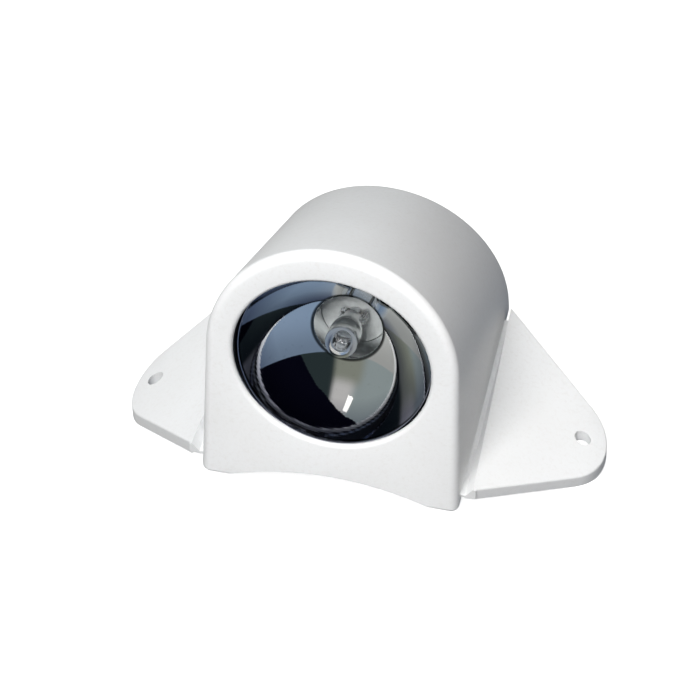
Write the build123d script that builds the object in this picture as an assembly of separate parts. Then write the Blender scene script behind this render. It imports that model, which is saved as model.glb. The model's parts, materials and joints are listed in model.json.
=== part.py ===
from build123d import *
import math
import os

# Deck light for a sailing boat's mast: a white moulded housing with two flexible ears, and a
# two-pin reflector lamp that pulls out through the round mouth. All sizes are millimetres.
#
# The pieces are drawn in the mast frame: X across, Y along the mast away from the beam, and Z off
# the mast, with the origin in the middle of the front edge of the seat. At the end they are turned
# into the table frame, in which the light stands on its right front foot and its two ear tips.

# Round sizes that follow from the lamp
bowl_radius = 26.6
rim_width = 0.5
rim_radius = bowl_radius + rim_width
mouth_clearance = 0.3
mouth_radius = rim_radius + mouth_clearance
face_margin = 7.6
tunnel_radius = mouth_radius + face_margin

# Housing
wall = 2.8
face_wall = 3.0
face_lean_angle = 9.8
tunnel_dip_angle = 31.5
leg_splay_angle = 2.0
axis_height = 45.4
housing_depth = 77.6
rim_fillet = 2.4
back_fillet = 1.4
foot_fillet = 1.2
saddle_radius = 82.0
foot_width = 5.2
saddle_half_width = tunnel_radius - foot_width

# Mouth and lamp axis
mouth_fillet = 1.3
lip_thickness = 1.5
lamp_tilt_angle = 8.1

# Ears, measured down their own slope from the middle of the root edge
ear_droop_angle = {"right": 25.5, "left": 36.5}
ear_thickness = 3.6
ear_middle = 37.0
ear_root_gap = 3.2
ear_root_turn_angle = 2.9
ear_root_front = 32.8
ear_root_back = 35.6
ear_root_height = 6.4
ear_front_angle = 33.7
ear_back_angle = 37.2
ear_tip_radius = 16.2
ear_edge_fillet = 0.7
ear_root_overlap = 0.7
ear_hole_radius = 2.3
ear_hole_reach = 28.6
ear_hole_shift = 0.9

# Thin web that each ear bends on
web_back = 33.0
web_flat = 0.3
hinge_gap = 1.65
hinge_turn_angle = 1.3
hinge_height = 3.05
hinge_bead_radius = 0.5
hinge_clearance = 0.06
hinge_end_clearance = 0.3
hinge_wrap_angle = 50.0
strip_reach = 5.0

# Reflector, as depths behind the mouth along the lamp axis
rim_depth = 4.3
rim_thickness = 2.0
rim_fillet_radius = 0.2
bowl_depth = 5.5
bowl_aspect = 1.4
bowl_wall = 0.6
neck_radius = 9.6
neck_depth = 20.8
neck_end_depth = 32.0

# Halogen capsule
capsule_radius = 4.5
capsule_glass = 0.8
capsule_tip_depth = 8.5
capsule_shoulder_depth = 23.0
capsule_throat_radius = 3.0
capsule_throat_depth = 25.4
pinch_width = 8.0
pinch_thickness = 3.0
pinch_end_depth = 36.0
pinch_corner = 0.9
pinch_root = 1.2

# Filament and its leads
coil_radius = 0.6
coil_pitch = 0.5
coil_length = 3.5
coil_wire_radius = 0.13
coil_depth = 14.0
post_radius = 0.28
foil_width = 1.5
foil_thickness = 0.2
foil_length = 5.5
foil_end_inset = 2.5
foil_end_depth = pinch_end_depth - foil_end_inset
foil_start_depth = foil_end_depth - foil_length
lead_radius = 0.35
embed_clearance = 0.03

# Ceramic lamp base and its pins
cement_depth = 29.5
cement_thickness = 1.2
base_radius = 11.0
base_flange_thickness = 3.2
base_width = 20.0
base_height = 11.0
base_slot_room = 2.2
base_slot_depth = pinch_end_depth + base_slot_room
base_floor = 3.8
base_end_depth = base_slot_depth + base_floor
base_corner = 2.0
base_clearance = 0.1
slot_clearance = 0.3
pin_radius = 0.75
pin_spacing = 5.33
pin_start_room = 1.6
pin_start_depth = pinch_end_depth + pin_start_room
pin_length = 7.5

# Collar behind the mouth and its wire spring
collar_bore_clearance = 0.4
collar_wall = 1.8
collar_recess_clearance = 0.4
collar_seat_depth = 8.2
collar_seat_thickness = 2.8
collar_seat_clearance = 0.35
collar_flange_width = 1.4
collar_flange_thickness = 1.6
lug_radius = 3.0
lug_thickness = 2.0
lug_margin = 4.8
lug_circle = mouth_radius + lug_margin
lug_standoff = 2.0
lug_angles = (215.0, 270.0, 325.0)
lug_boss_step = 0.3
spring_wire_radius = 0.4
spring_gap_angle = 24.0
spring_clearance = 0.6
spring_step_clearance = 0.1

# Small screws
small_screw_radius = 1.1
small_head_radius = 2.1
small_head_height = 1.4
screw_clearance = 0.2
drive_slot = 0.6
drive_slot_depth = 0.7
head_round_share = 0.35
pilot_extra = 1.0

# Two-pin lamp holder
holder_gap = 0.3
holder_width = 26.0
holder_height = 12.0
holder_length = 11.6
holder_corner = 1.6
contact_clearance = 0.07
pin_entry_clearance = 0.2
contact_wall = 1.0
contact_inset = 1.5
contact_gap = 0.2
holder_screw_reach = 9.6
holder_screw_radius = 1.5
holder_head_radius = 2.75
holder_head_height = 1.8
holder_screw_length = 9.5

# Sheet steel bracket that carries the holder
sheet = 1.2
bracket_drop = 25.4
bracket_height = axis_height - bracket_drop
bracket_end_gap = 3.7
bracket_half_length = tunnel_radius - wall - bracket_end_gap
bracket_length = 9.6
bracket_rise = 6.0
bracket_window_width = 10.0
bracket_window_height = 6.4
boss_radius = 3.6
boss_end_inset = 4.1
boss_reach = bracket_half_length - boss_end_inset
boss_inset = 5.2
bracket_screw_radius = 1.6
bracket_head_radius = 3.0
bracket_head_height = 2.0
bracket_screw_length = 9.0

# Two-pole terminal block under the bracket
block_width = 19.0
block_length = 10.0
block_height = 10.4
block_corner = 1.0
pole_spacing = 10.4
pole_drop = 5.4
pole_outer_radius = 2.3
pole_bore_radius = 1.3
pole_screw_radius = 1.1
pole_screw_spacing = 5.0
pole_screw_inset = 0.8
block_screw_radius = 1.1
block_screw_head_radius = 1.9
block_screw_sink = 0.4
pole_slot = 0.4
pole_slot_depth = 0.5
tube_inset = 0.5

# Insulated leads from the holder to the block
lead_cover_radius = 1.0
lead_end_radius = 0.7
lead_end_length = 5.6
lead_wall_gap = 6.4
lead_bend_share = 0.45
lead_start_inset = 1.5
lead_entry = 0.4

# Shared allowances
seat_gap = 0.05
join = 0.1
edge_margin = 1.0
tolerance = 0.01


def direction(angle):
    """Unit vector in the plane of the mast, at an angle above the mast direction."""
    return Vector(0, math.cos(math.radians(angle)), math.sin(math.radians(angle)))


def sine(angle):
    return math.sin(math.radians(angle))


def cosine(angle):
    return math.cos(math.radians(angle))


def tangent(angle):
    return math.tan(math.radians(angle))


# Local frames: x across, y up the face, z out of the mouth
mouth_centre = direction(90 - face_lean_angle) * axis_height
face_frame = Plane(mouth_centre, x_dir=(1, 0, 0), z_dir=direction(-face_lean_angle) * -1)
lamp_frame = Plane(mouth_centre, x_dir=(1, 0, 0), z_dir=direction(-face_lean_angle - lamp_tilt_angle) * -1)
tunnel_frame = Plane(mouth_centre, x_dir=(1, 0, 0), z_dir=direction(-tunnel_dip_angle) * -1)
far = 160.0


def in_frame(frame, shape):
    return frame.location * shape


def turned(profile):
    """Solid of revolution about Z from points or curves drawn as radius and height."""
    return revolve(Plane.XZ * make_face(profile), axis=Axis.Z)


def rod(radius, low, high, at=(0, 0)):
    """Upright round bar between two heights."""
    return Pos(at[0], at[1], (low + high) / 2) * Cylinder(radius, high - low)


def block(width, depth, low, high, at=(0, 0)):
    """Upright rectangular bar between two heights."""
    return Pos(at[0], at[1], (low + high) / 2) * Box(width, depth, high - low)


def union(shapes):
    """Join solids into one."""
    shapes = list(shapes)
    whole = shapes[0]
    for shape in shapes[1:]:
        whole = whole + shape
    return whole


def group(shapes):
    """Separate solids kept in one piece list."""
    return Compound(children=[solid for shape in shapes for solid in shape.solids()])


# Housing
def arch_prism(radius):
    """Half-round tunnel with splayed legs, far longer than the housing."""
    side = radius * cosine(leg_splay_angle)
    top = radius * sine(leg_splay_angle)
    foot = radius / cosine(leg_splay_angle) + far * tangent(leg_splay_angle)
    outline = [
        Line((-foot, -far), (-side, top)),
        ThreePointArc((-side, top), (0, radius), (side, top)),
        Line((side, top), (foot, -far)),
        Line((foot, -far), (-foot, -far)),
    ]
    prism = extrude(make_face(outline), amount=far, both=True)
    return in_frame(tunnel_frame, prism)


def side_envelope(front_skin, back_skin, floor):
    """Space between the leaning face, the back wall and the seat, seen from the side."""
    front = front_skin / cosine(face_lean_angle)
    top = far * tangent(face_lean_angle)
    bottom = floor * tangent(face_lean_angle)
    points = [
        (front + bottom, floor),
        (front + top, far),
        (housing_depth - back_skin, far),
        (housing_depth - back_skin, floor),
    ]
    outline = Plane.YZ * make_face(Polyline(*points, close=True))
    return extrude(outline, amount=far, both=True)


def outer_body():
    body = arch_prism(tunnel_radius) & side_envelope(0, 0, 0)
    face = body.faces().sort_by(Axis(mouth_centre, face_frame.z_dir))[-1]
    rim = [edge for edge in face.edges() if edge.center().Z > edge_margin]
    body = fillet(rim, rim_fillet)
    back = body.faces().sort_by(Axis.Y)[-1]
    body = fillet([edge for edge in back.edges() if edge.center().Z > edge_margin], back_fillet)
    seat = body.faces().sort_by(Axis.Z)[0]
    sides = [edge for edge in seat.edges() if edge.length > housing_depth / 2]
    return fillet(sides, foot_fillet)


def saddle_depth():
    """How far the mast rises between the two feet."""
    return saddle_radius - math.sqrt(saddle_radius**2 - saddle_half_width**2)


def mast_cutter():
    """The mast that the feet straddle."""
    return Pos(0, 0, saddle_depth() - saddle_radius) * Rot(90, 0, 0) * Cylinder(saddle_radius, far * 2)


def bracket_boss(side):
    return rod(boss_radius, bracket_height, far, (side * boss_reach, boss_place()))


def bracket_pilot(side):
    top = bracket_height + bracket_screw_length
    low = bracket_height - pilot_extra
    return rod(bracket_screw_radius, low, top, (side * boss_reach, boss_place()))


def lug_point(angle):
    return (lug_circle * cosine(angle), lug_circle * sine(angle))


def lug_boss(angle):
    radius = lug_radius - lug_boss_step
    stand = rod(radius, -face_wall - lug_standoff, -face_wall / 2, lug_point(angle))
    return in_frame(face_frame, stand)


def lug_pilot(angle):
    low = -face_wall - lug_standoff - pilot_extra
    hole = rod(small_screw_radius, low, -face_wall + pilot_extra, lug_point(angle))
    return in_frame(face_frame, hole)


def root_frame():
    """Frame of the right ear's root edge: x outwards, y along the edge, z off the mast."""
    out = (cosine(ear_root_turn_angle), sine(ear_root_turn_angle), 0)
    return Plane((tunnel_radius + ear_root_gap, ear_middle, 0), x_dir=out, z_dir=(0, 0, 1))


def hinge_frame():
    """Frame of the right ear's hinge line, which runs beside the foot of the wall."""
    out = (cosine(hinge_turn_angle), sine(hinge_turn_angle), 0)
    return Plane((tunnel_radius + hinge_gap, ear_middle, hinge_height), x_dir=out, z_dir=(0, 0, 1))


def along_hinge(shape):
    """Put a shape drawn about the middle of the web on the right ear's hinge line."""
    return in_frame(hinge_frame(), Pos(0, (web_back - ear_root_front) / 2, 0) * shape)


def web_length():
    return ear_root_front + web_back


def hinge_bar(radius, length):
    """Round bar along the right ear's hinge line."""
    return along_hinge(Rot(90, 0, 0) * Cylinder(radius, length))


def hinge_strip():
    """Right-hand strip moulded on the housing, up to the ear's bead."""
    lip = (hinge_bead_radius + hinge_clearance) * cosine(180 - hinge_wrap_angle)
    middle = (lip - strip_reach / 2, 0)
    return along_hinge(block(strip_reach, web_length(), -hinge_bead_radius, hinge_bead_radius, middle))


def both_sides(shape):
    return shape + mirror(shape, Plane.YZ)


def along_lamp(radius):
    """Endless round bar on the lamp's axis."""
    return in_frame(lamp_frame, rod(radius, -far, far))


def behind_face(near, deep):
    """Slab between two depths behind the leaning face."""
    return in_frame(face_frame, block(far, far, -deep, -near))


def housing_shell():
    outer = outer_body()
    cavity = arch_prism(tunnel_radius - wall) & side_envelope(face_wall, wall, -wall * 4)
    shell = outer + both_sides(hinge_strip()) - cavity
    groove = hinge_bar(hinge_bead_radius + hinge_clearance, web_length() + hinge_end_clearance * 2)
    shell = shell - both_sides(groove)
    shell = shell + union(bracket_boss(side) & outer for side in (-1, 1))
    shell = shell + union(lug_boss(angle) for angle in lug_angles)
    shell = shell - union(bracket_pilot(side) for side in (-1, 1))
    shell = shell - union(lug_pilot(angle) for angle in lug_angles)
    shell = shell - mast_cutter()
    recess = collar_outer() + collar_recess_clearance
    shell = shell - (along_lamp(recess) & behind_face(lip_thickness, face_wall))
    shell = shell - (along_lamp(mouth_radius) & behind_face(-far, face_wall * 2))
    face = shell.faces().sort_by(Axis(mouth_centre, face_frame.z_dir))[-1]
    return fillet(face.inner_wires()[0].edges(), mouth_fillet)


# Ears
def slope_frame(droop):
    """Frame of the right ear's top: x down the slope, y along the root, z off the ear."""
    return Plane(root_frame().location * Pos(0, 0, ear_root_height) * Rot(0, droop, 0))


def ear_tip_centre():
    """Centre of the tip's arc, which both straight edges run into."""
    front = -ear_root_front + ear_tip_radius / cosine(ear_front_angle)
    back = ear_root_back - ear_tip_radius / cosine(ear_back_angle)
    reach = (back - front) / (tangent(ear_front_angle) + tangent(ear_back_angle))
    return Vector(reach, front + reach * tangent(ear_front_angle), 0)


def tip_point(angle):
    return ear_tip_centre() + Vector(cosine(angle), sine(angle), 0) * ear_tip_radius


def ear_outline():
    """Triangle with a round tip, drawn on the ear's top."""
    front = tip_point(ear_front_angle - 90)
    tip = tip_point((ear_front_angle - ear_back_angle) / 2)
    back = tip_point(90 - ear_back_angle)
    return make_face([
        Line((0, -ear_root_front), (front.X, front.Y)),
        ThreePointArc((front.X, front.Y), (tip.X, tip.Y), (back.X, back.Y)),
        Line((back.X, back.Y), (0, ear_root_back)),
        Line((0, ear_root_back), (0, -ear_root_front)),
    ])


def root_section(droop, place):
    """Cut across the web and bevel at one place along the root of the right ear."""
    bead = root_frame().to_local_coords(hinge_frame().from_local_coords(Vector(0, place, 0)))
    low = hinge_height - hinge_bead_radius
    high = hinge_height + hinge_bead_radius
    points = [
        (bead.X, low),
        (ear_root_overlap, low),
        (ear_root_overlap, ear_root_height - ear_root_overlap * tangent(droop)),
        (0, ear_root_height),
        (bead.X + web_flat, high),
        (bead.X, high),
    ]
    return in_frame(root_frame(), Pos(0, place, 0) * (Plane.XZ * make_face(Polyline(*points, close=True))))


def ear_root(droop):
    """Web and bevel that lead from the bead up to the thick plate."""
    return loft([root_section(droop, -ear_root_front), root_section(droop, web_back)], ruled=True)


def right_ear(droop):
    frame = slope_frame(droop)
    drop = ear_thickness / cosine(droop)
    plate = extrude(in_frame(frame, ear_outline()), amount=drop, dir=(0, 0, -1))
    top = plate.faces().sort_by(Axis((0, 0, 0), frame.z_dir))[-1]
    root_side = tunnel_radius + ear_root_gap * 2
    plate = fillet([edge for edge in top.edges() if edge.center().X > root_side], ear_edge_fillet)
    hole_at = frame.from_local_coords(Vector(ear_hole_reach, ear_hole_shift, 0))
    hole = rod(ear_hole_radius, -far, far, (hole_at.X, hole_at.Y))
    return plate + ear_root(droop) + hinge_bar(hinge_bead_radius, web_length()) - hole


def ear(side):
    shape = right_ear(ear_droop_angle[side])
    return shape if side == "right" else mirror(shape, Plane.YZ)


# Collar, its screws and the wire spring
def collar_bore():
    return rim_radius + collar_bore_clearance


def collar_outer():
    return collar_bore() + collar_wall


def spring_radius():
    return rim_radius + spring_clearance + spring_wire_radius


def lamp_collar():
    bore = collar_bore()
    outer = collar_outer()
    end = collar_seat_depth + collar_seat_thickness
    tube = in_frame(lamp_frame, rod(outer, -end, far / 2))
    flange_end = -face_wall - collar_flange_thickness
    flange_outer = outer + collar_recess_clearance + collar_flange_width
    flange = in_frame(face_frame, rod(flange_outer, flange_end, -face_wall))
    lug_top = -face_wall - lug_standoff
    lugs = [
        in_frame(face_frame, rod(lug_radius, lug_top - lug_thickness, lug_top, lug_point(angle)))
        for angle in lug_angles
    ]
    webs = [
        in_frame(face_frame, Rot(0, 0, angle) * block(
            lug_circle - bore, lug_radius * 2, lug_top - lug_thickness, lug_top,
            ((lug_circle + bore) / 2, 0)))
        for angle in lug_angles
    ]
    front = in_frame(face_frame, rod(far, -lip_thickness - seat_gap, far))
    step_radius = spring_radius() + spring_wire_radius + spring_step_clearance
    step = along_lamp(step_radius) & behind_face(-far, face_wall)
    seat = in_frame(lamp_frame, rod(bore, -collar_seat_depth, far / 2))
    opening = in_frame(lamp_frame, rod(seat_bore(), -far / 2, far / 2))
    holes = [
        in_frame(face_frame, rod(small_screw_radius + screw_clearance, -far / 2, 0, lug_point(angle)))
        for angle in lug_angles
    ]
    stands = [lug_boss(angle) for angle in lug_angles]
    return union([tube, flange] + lugs + webs) - front - step - seat - opening - union(holes + stands)


def bowl_curve():
    """Centre depth, radius and length of the ellipse whose stretch from rim to neck is the bowl."""
    height = neck_depth - bowl_depth
    slope = (bowl_radius**2 - neck_radius**2) / height - height / bowl_aspect**2
    radius = math.sqrt(bowl_radius**2 + (slope * bowl_aspect / 2)**2)
    return bowl_depth - slope * bowl_aspect**2 / 2, radius, radius * bowl_aspect


def bowl_back_depth(radius):
    """Depth behind the mouth at which the back of the bowl has a radius."""
    centre, wide, long = bowl_curve()
    return centre + (long + bowl_wall) * math.sqrt(1 - (radius / (wide + bowl_wall))**2)


def bowl_back_radius(depth):
    """Radius of the back of the bowl at a depth behind the mouth."""
    centre, wide, long = bowl_curve()
    return (wide + bowl_wall) * math.sqrt(1 - ((depth - centre) / (long + bowl_wall))**2)


def bowl_arc(wall_offset, start_radius, end_radius):
    """Stretch of the bowl's curve, or of its back, between two radii."""
    centre, wide, long = bowl_curve()
    wide = wide + wall_offset
    angles = [-math.degrees(math.acos(radius / wide)) for radius in (start_radius, end_radius)]
    size = max(angles) - min(angles)
    return EllipticalCenterArc((0, -centre), wide, long + wall_offset, min(angles), arc_size=size)


def seat_bore():
    return bowl_back_radius(collar_seat_depth) + collar_seat_clearance


def headed_screw(radius, length, head_radius, head_height):
    """Pan-head screw with its head on top, pointing down from z = 0."""
    head = rod(head_radius, 0, head_height)
    head = fillet(head.edges().sort_by(Axis.Z)[-1], head_height * head_round_share)
    slot = block(far, drive_slot, head_height - drive_slot_depth, far)
    return head + rod(radius, -length, join) - slot


def collar_screws():
    seat = -face_wall - lug_standoff - lug_thickness
    length = lug_thickness + lug_standoff
    screw = headed_screw(small_screw_radius, length, small_head_radius, small_head_height)
    return group(
        in_frame(face_frame, Pos(*lug_point(angle), seat) * Rot(180, 0, 0) * screw)
        for angle in lug_angles
    )


def retaining_spring():
    """Open wire ring lying on the collar, round the lamp's rim."""
    depth = -face_wall + spring_wire_radius + seat_gap
    start = 90 + spring_gap_angle / 2
    centre = (0, depth * tangent(lamp_tilt_angle), depth)
    path = CenterArc(centre, spring_radius(), start, 360 - spring_gap_angle)
    profile = Plane(path @ 0, z_dir=path % 0) * Circle(spring_wire_radius)
    return in_frame(face_frame, sweep(profile, path=path))


# Lamp
def lamp_reflector():
    neck_outer = neck_radius + bowl_wall
    back_rim = rim_depth + rim_thickness
    rim_back_radius = bowl_back_radius(back_rim)
    neck_start = bowl_back_depth(neck_outer)
    outline = [
        bowl_arc(0, bowl_radius, neck_radius),
        Line((neck_radius, -neck_depth), (neck_radius, -neck_end_depth)),
        Line((neck_radius, -neck_end_depth), (neck_outer, -neck_end_depth)),
        Line((neck_outer, -neck_end_depth), (neck_outer, -neck_start)),
        bowl_arc(bowl_wall, rim_back_radius, neck_outer),
        Line((rim_back_radius, -back_rim), (rim_radius, -back_rim)),
        Line((rim_radius, -back_rim), (rim_radius, -rim_depth)),
        Line((rim_radius, -rim_depth), (bowl_radius, -rim_depth)),
        Line((bowl_radius, -rim_depth), (bowl_radius, -bowl_depth)),
    ]
    bowl = turned(outline)
    rim = [
        edge for edge in bowl.edges().filter_by(GeomType.CIRCLE)
        if abs(edge.radius - rim_radius) < tolerance
    ]
    return in_frame(lamp_frame, fillet(rim, rim_fillet_radius))


def capsule_outline(radius, tip, shoulder, throat_radius, throat):
    centre = -tip - radius
    return [
        Line((0, -throat), (0, -tip)),
        ThreePointArc((0, -tip), (radius * cosine(45), centre + radius * sine(45)), (radius, centre)),
        Line((radius, centre), (radius, -shoulder)),
        Line((radius, -shoulder), (throat_radius, -throat)),
        Line((throat_radius, -throat), (0, -throat)),
    ]


def post_places():
    return [(side * coil_length / 2, 0) for side in (-1, 1)]


def lead_wire(side, radius):
    """Short wire from a foil out to the top of a pin."""
    start = Vector(side * coil_length / 2, 0, -foil_end_depth - lead_radius / 2)
    end = Vector(side * pin_spacing / 2, 0, -pin_start_depth)
    along = Plane(start, z_dir=end - start)
    return in_frame(along, rod(radius, 0, (end - start).length - pin_radius))


def foil(side, extra=0.0):
    place = (side * coil_length / 2, 0)
    width = foil_width + extra
    return block(width, foil_thickness + extra, -foil_end_depth, -foil_start_depth, place)


def bulb_capsule():
    glass = turned(capsule_outline(
        capsule_radius, capsule_tip_depth, capsule_shoulder_depth, capsule_throat_radius,
        capsule_throat_depth))
    pinch = block(pinch_width, pinch_thickness, -pinch_end_depth, -capsule_throat_depth + pinch_root)
    pinch = fillet(pinch.edges().filter_by(Axis.Z), pinch_corner)
    gas = turned(capsule_outline(
        capsule_radius - capsule_glass, capsule_tip_depth + capsule_glass,
        capsule_shoulder_depth - capsule_glass, capsule_throat_radius - capsule_glass,
        capsule_throat_depth - capsule_glass * 2))
    posts = [
        rod(post_radius + embed_clearance, -foil_start_depth, -capsule_tip_depth, place)
        for place in post_places()
    ]
    pockets = [foil(side, embed_clearance * 2) for side in (-1, 1)]
    wires = [lead_wire(side, lead_radius + embed_clearance) for side in (-1, 1)]
    return in_frame(lamp_frame, glass + pinch - gas - union(posts + pockets + wires))


def bulb_filament():
    helix = Helix(coil_pitch, coil_length - coil_wire_radius * 2, coil_radius)
    profile = Plane(helix @ 0, z_dir=helix % 0) * Circle(coil_wire_radius)
    coil = sweep(profile, path=helix)
    laid = Pos(-coil_length / 2 + coil_wire_radius, 0, -coil_depth) * Rot(0, 90, 0) * coil
    return in_frame(lamp_frame, laid)


def filament_posts():
    top = -coil_depth - coil_radius - coil_wire_radius - seat_gap
    return group(
        in_frame(lamp_frame, rod(post_radius, -foil_start_depth + embed_clearance, top, place))
        for place in post_places()
    )


def bulb_foils():
    return group(in_frame(lamp_frame, foil(side)) for side in (-1, 1))


def bulb_leads():
    return group(in_frame(lamp_frame, lead_wire(side, lead_radius)) for side in (-1, 1))


def pinch_slot(end_depth):
    """Slot through the cement and the base that takes the capsule's flat foot."""
    width = pinch_width + slot_clearance * 2
    thickness = pinch_thickness + slot_clearance * 2
    return block(width, thickness, -end_depth, 0)


def lamp_cement():
    end = cement_depth + cement_thickness
    disc = rod(neck_radius - base_clearance, -end, -cement_depth)
    return in_frame(lamp_frame, disc - pinch_slot(end))


def lamp_base():
    top = cement_depth + cement_thickness
    flange_top = neck_end_depth + base_clearance
    flange_end = flange_top + base_flange_thickness
    plug = rod(neck_radius - base_clearance, -flange_end, -top)
    flange = rod(base_radius, -flange_end, -flange_top)
    foot = block(base_width, base_height, -base_end_depth, -flange_end)
    foot = fillet(foot.edges().filter_by(Axis.Z), base_corner)
    pins = [rod(pin_radius, -far, -pin_start_depth, (side * pin_spacing / 2, 0)) for side in (-1, 1)]
    return in_frame(lamp_frame, plug + flange + foot - pinch_slot(base_slot_depth) - union(pins))


def lamp_pins():
    pins = []
    for side in (-1, 1):
        place = (side * pin_spacing / 2, 0)
        pin = rod(pin_radius, -base_end_depth - pin_length, -pin_start_depth, place)
        pins.append(in_frame(lamp_frame, fillet(pin.edges().sort_by(Axis.Z)[0], pin_radius * 0.6)))
    return group(pins)


# Holder, bracket and their screws
def holder_front():
    return base_end_depth + holder_gap


def holder_back():
    return holder_front() + holder_length


def lamp_holder():
    body = block(holder_width, holder_height, -holder_back(), -holder_front())
    body = fillet(body.edges().filter_by(Axis.Z), holder_corner)
    cuts = []
    for side in (-1, 1):
        pin = (side * pin_spacing / 2, 0)
        screw = (side * holder_screw_reach, 0)
        cuts.append(rod(pin_radius + pin_entry_clearance, -holder_back(), 0, pin))
        cuts.append(rod(contact_outer() + embed_clearance, -holder_back(), -contact_start(), pin))
        cuts.append(rod(holder_screw_radius + embed_clearance, -far, 0, screw))
    return in_frame(lamp_frame, body - union(cuts))


def contact_outer():
    return pin_radius + contact_clearance + contact_wall


def contact_start():
    return holder_front() + contact_inset


def holder_contacts():
    contacts = []
    for side in (-1, 1):
        at = (side * pin_spacing / 2, 0)
        end = holder_back() - lead_start_inset - contact_gap
        sleeve = rod(contact_outer(), -end, -contact_start(), at)
        bore = rod(pin_radius + contact_clearance, -far, 0, at)
        contacts.append(in_frame(lamp_frame, sleeve - bore))
    return group(contacts)


def bracket_rear():
    """Back edge of the bracket's strip, where its tab goes up behind the holder."""
    lean = face_lean_angle + lamp_tilt_angle
    depth = holder_back() + seat_gap
    rise = (bracket_height - sheet - mouth_centre.Z + depth * sine(lean)) / cosine(lean)
    return mouth_centre.Y + depth * cosine(lean) + rise * sine(lean) + sheet


def bracket_front():
    return bracket_rear() - bracket_length


def boss_place():
    return bracket_front() + boss_inset


def holder_bracket():
    tab_front = holder_back() + seat_gap
    tab = block(holder_width, far, -tab_front - sheet, -tab_front, (0, bracket_rise - far / 2))
    window = block(bracket_window_width, bracket_window_height, -far, 0)
    holes = [
        rod(holder_screw_radius + screw_clearance, -far, 0, (side * holder_screw_reach, 0))
        for side in (-1, 1)
    ]
    tab = in_frame(lamp_frame, tab - window - union(holes))
    low = bracket_height - sheet
    tab = tab & block(far, far * 2, low, far)
    middle = (0, bracket_front() + bracket_length / 2)
    strip = block(bracket_half_length * 2, bracket_length, low, bracket_height, middle)
    cuts = [
        rod(bracket_screw_radius + screw_clearance, 0, far, (side * boss_reach, boss_place()))
        for side in (-1, 1)
    ]
    cuts.append(rod(block_screw_radius, 0, far, (0, block_place())))
    return strip - union(cuts) + tab


def holder_screws():
    seat = -holder_back() - seat_gap * 2 - sheet
    screw = headed_screw(holder_screw_radius, holder_screw_length, holder_head_radius, holder_head_height)
    return group(
        in_frame(lamp_frame, Pos(side * holder_screw_reach, 0, seat) * Rot(180, 0, 0) * screw)
        for side in (-1, 1)
    )


def bracket_screws():
    seat = bracket_height - sheet - seat_gap
    screw = headed_screw(
        bracket_screw_radius, bracket_screw_length, bracket_head_radius, bracket_head_height)
    return group(
        Pos(side * boss_reach, boss_place(), seat) * Rot(180, 0, 0) * screw for side in (-1, 1)
    )


# Terminal block
def block_place():
    return bracket_front() + block_length / 2


def block_top():
    return bracket_height - sheet - seat_gap


def pole_height():
    return block_top() - pole_drop


def pole_bar(radius, side, length):
    """Round bar along one pole of the block."""
    place = Pos(side * pole_spacing / 2, block_place(), pole_height())
    return place * Rot(90, 0, 0) * Cylinder(radius, length)


def pole_screw_places():
    return [
        (side * pole_spacing / 2, block_place() + step * pole_screw_spacing / 2)
        for side in (-1, 1) for step in (-1, 1)
    ]


def block_bottom():
    return block_top() - block_height


def block_screw_seat():
    """Height of the shoulder that the block's own screw sits on."""
    return block_bottom() + small_head_height + block_screw_sink


def terminal_block():
    body = block(block_width, block_length, block_bottom(), block_top(), (0, block_place()))
    body = fillet(body.edges().filter_by(Axis.Z), block_corner)
    cuts = [pole_bar(pole_outer_radius + embed_clearance, side, far) for side in (-1, 1)]
    cuts += [
        rod(pole_screw_radius + screw_clearance, block_bottom(), pole_height(), place)
        for place in pole_screw_places()
    ]
    middle = (0, block_place())
    cuts.append(rod(block_screw_radius + screw_clearance, -far, far, middle))
    cuts.append(rod(block_screw_head_radius + screw_clearance, -far, block_screw_seat(), middle))
    return body - union(cuts)


def terminal_tubes():
    tubes = []
    for side in (-1, 1):
        tube = pole_bar(pole_outer_radius, side, block_length - tube_inset * 2)
        tube = tube - pole_bar(pole_bore_radius, side, far)
        holes = [
            rod(pole_screw_radius + embed_clearance, 0, pole_height(), place)
            for place in pole_screw_places() if place[0] * side > 0
        ]
        tubes.append(tube - union(holes))
    return group(tubes)


def terminal_screws():
    low = block_bottom() + pole_screw_inset
    high = pole_height() - lead_end_radius - seat_gap
    screws = []
    for place in pole_screw_places():
        screw = rod(pole_screw_radius, low, high, place)
        slot = block(pole_screw_radius * 3, pole_slot, 0, low + pole_slot_depth, place)
        screws.append(screw - slot)
    return group(screws)


def block_screw():
    seat = block_screw_seat() - seat_gap
    length = block_top() - seat + sheet
    radius = block_screw_radius - embed_clearance
    screw = headed_screw(radius, length, block_screw_head_radius, small_head_height)
    return Pos(0, block_place(), seat) * Rot(180, 0, 0) * screw


# Leads
def lead_path(side):
    """Back out of the holder, down behind the bracket and forward into the block."""
    start = Vector(side * pin_spacing / 2, 0, -holder_back() + lead_start_inset)
    exit_point = lamp_frame.from_local_coords(start)
    away = lamp_frame.z_dir * -1
    behind = housing_depth - wall - lead_wall_gap
    run = (behind - exit_point.Y) / away.Y
    turn = exit_point + away * run
    entry_y = block_place() + block_length / 2 - lead_entry
    entry_x = side * pole_spacing / 2
    return FilletPolyline(
        exit_point,
        Vector(turn.X, turn.Y, turn.Z),
        Vector(entry_x, behind, pole_height()),
        Vector(entry_x, entry_y, pole_height()),
        radius=(behind - entry_y) * lead_bend_share)


def lead(side):
    path = lead_path(side)
    return sweep(Plane(path @ 0, z_dir=path % 0) * Circle(lead_cover_radius), path=path)


def lead_ends():
    ends = []
    for side in (-1, 1):
        start = lead_path(side) @ 1
        end = Pos(start.X, start.Y - seat_gap - lead_end_length / 2, start.Z) * Rot(90, 0, 0)
        ends.append(end * Cylinder(lead_end_radius, lead_end_length))
    return group(ends)


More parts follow.
